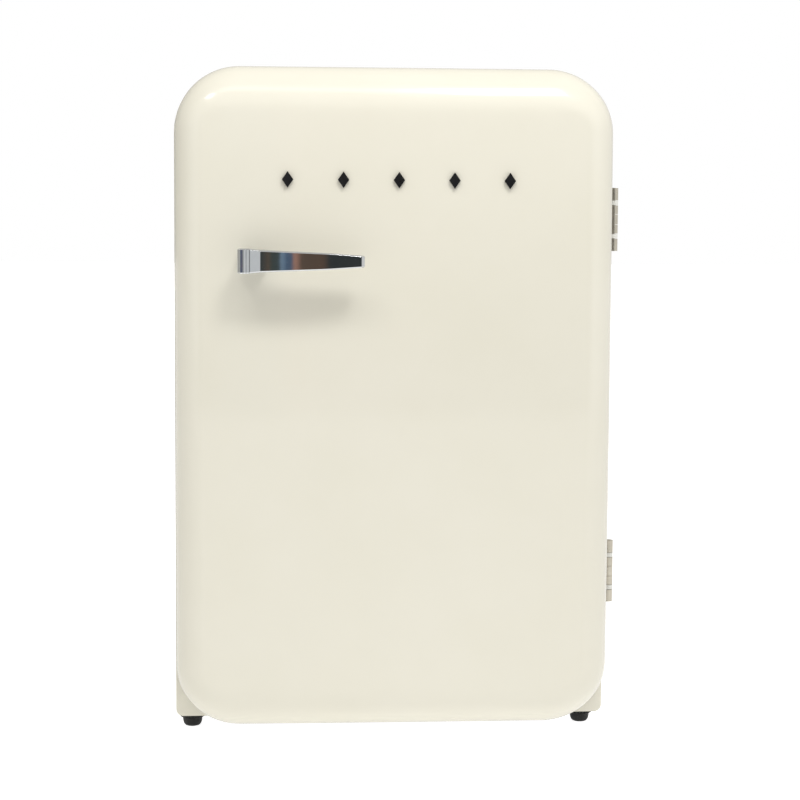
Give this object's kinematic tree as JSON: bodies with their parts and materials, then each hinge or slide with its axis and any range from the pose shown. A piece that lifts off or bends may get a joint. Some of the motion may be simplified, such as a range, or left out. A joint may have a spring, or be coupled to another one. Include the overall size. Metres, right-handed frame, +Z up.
{
  "type": "mini fridge",
  "caption": "Free-standing retro under-counter fridge with one rounded, crowned door, side butt hinges, a tapered lever handle and a small ice box inside.",
  "frame": {"origin": "on the floor, below the middle of the cabinet's width and of the whole depth", "axes": "+X to the right seen from the front, +Y to the back, +Z up; the door faces -Y"},
  "size_m": [0.5613, 0.637, 0.85],
  "materials": {
    "cream_paint": "gloss",
    "zinc_sheet": "satin",
    "white_moulding": "satin",
    "insulation_foam": "matte",
    "black_enamel": "satin",
    "copper": "satin",
    "evaporator_aluminium": "satin",
    "shelf_glass": "polished",
    "clear_plastic": "gloss",
    "lamp_glass": "gloss",
    "seal_rubber": "matte",
    "black_rubber": "matte",
    "black_plastic": "satin",
    "chrome_plate": "polished",
    "satin_nickel": "satin",
    "nylon": "satin",
    "zinc_screw": "satin",
    "badge_dark": "gloss"
  },
  "bodies": {
    "cabinet": {"outer_wrap": "cream_paint", "back_panel": "zinc_sheet", "bottom_pan": "zinc_sheet", "inner_liner": "white_moulding", "cabinet_foam": "insulation_foam", "front_foot_sockets": "zinc_screw", "compressor_base_plate": "zinc_sheet", "wall_spacers": "black_plastic", "cord_inlet": "black_plastic", "cabinet_screws": "zinc_screw", "compressor": "black_enamel", "compressor_mounts": "black_rubber", "start_relay_cover": "black_plastic", "evaporation_tray": "black_plastic", "drain_hose": "black_rubber", "condenser_tube": "black_enamel", "condenser_wires": "black_enamel", "condenser_brackets": "black_enamel", "refrigerant_pipes": "copper", "filter_drier": "copper", "evaporator_box": "evaporator_aluminium", "ice_box_frame": "white_moulding", "upper_shelf_glass": "shelf_glass", "lower_shelf_glass": "shelf_glass", "crisper_cover_glass": "shelf_glass", "shelf_trims": "white_moulding", "control_housing": "white_moulding", "lamp_cover": "clear_plastic", "lamp_bulb": "lamp_glass", "thermostat_body": "black_plastic", "lamp_switch_body": "white_moulding", "upper_hinge_cabinet_leaf": "satin_nickel", "lower_hinge_cabinet_leaf": "satin_nickel", "hinge_pins": "satin_nickel", "hinge_washers": "nylon", "hinge_screws_cabinet": "zinc_screw", "roller_axles": "zinc_screw", "roller_brackets": "zinc_screw"},
    "door": {"door_outer_skin": "cream_paint", "door_foam": "insulation_foam", "door_inner_liner": "white_moulding", "door_gasket": "seal_rubber", "handle_post": "chrome_plate", "handle_lever": "chrome_plate", "badge_studs": "badge_dark", "upper_hinge_door_leaf": "satin_nickel", "lower_hinge_door_leaf": "satin_nickel", "hinge_screws_door": "zinc_screw", "upper_door_rack": "clear_plastic", "middle_door_rack": "clear_plastic", "bottom_door_rack": "clear_plastic"},
    "ice_flap": {"ice_box_door": "white_moulding"},
    "drip_tray": {"drip_tray": "white_moulding"},
    "crisper": {"crisper_drawer": "clear_plastic"},
    "thermostat_dial": {"thermostat_knob": "white_moulding"},
    "lamp_button": {"lamp_switch_plunger": "white_moulding"},
    "left_foot": {"front_left_foot": "black_plastic"},
    "right_foot": {"front_right_foot": "black_plastic"},
    "left_roller": {"rear_left_roller": "black_plastic"},
    "right_roller": {"rear_right_roller": "black_plastic"}
  },
  "joints": [
    {"name": "door_hinge", "type": "hinge", "parent": "cabinet", "child": "door", "pos_m": [0.28, -0.205, 0.4381], "axis": [0, 0, 1], "range_deg": [0, 135]},
    {"name": "ice_flap_hinge", "type": "hinge", "parent": "cabinet", "child": "ice_flap", "pos_m": [0.198, -0.1, 0.717], "axis": [0, 0, 1], "range_deg": [0, 95]},
    {"name": "drip_tray_slide", "type": "slide", "parent": "cabinet", "child": "drip_tray", "axis": [0, -1, 0], "range_m": [0, 0.12]},
    {"name": "crisper_slide", "type": "slide", "parent": "cabinet", "child": "crisper", "axis": [0, -1, 0], "range_m": [0, 0.16]},
    {"name": "lamp_button_travel", "type": "slide", "parent": "cabinet", "child": "lamp_button", "axis": [0, -1, 0], "range_m": [0, 0.004]},
    {"name": "thermostat_turn", "type": "hinge", "parent": "cabinet", "child": "thermostat_dial", "pos_m": [0.181, -0.025, 0.578], "axis": [-1, 0, 0], "range_deg": [0, 270]},
    {"name": "left_foot_screw", "type": "slide", "parent": "cabinet", "child": "left_foot", "axis": [0, 0, -1], "range_m": [0, 0.012]},
    {"name": "right_foot_screw", "type": "slide", "parent": "cabinet", "child": "right_foot", "axis": [0, 0, -1], "range_m": [0, 0.012]},
    {"name": "left_roller_spin", "type": "hinge", "parent": "cabinet", "child": "left_roller", "pos_m": [-0.23, 0.255, 0.013], "axis": [1, 0, 0], "continuous": true},
    {"name": "right_roller_spin", "type": "hinge", "parent": "cabinet", "child": "right_roller", "pos_m": [0.23, 0.255, 0.013], "axis": [1, 0, 0], "continuous": true}
  ],
  "couplings": [
    {"joint": "ice_flap_hinge", "follows": "door_hinge", "ratio": 0.7},
    {"joint": "drip_tray_slide", "follows": "door_hinge", "m_per_rad": 0.05},
    {"joint": "crisper_slide", "follows": "door_hinge", "m_per_rad": 0.065},
    {"joint": "lamp_button_travel", "follows": "door_hinge", "m_per_rad": 0.0016}
  ]
}
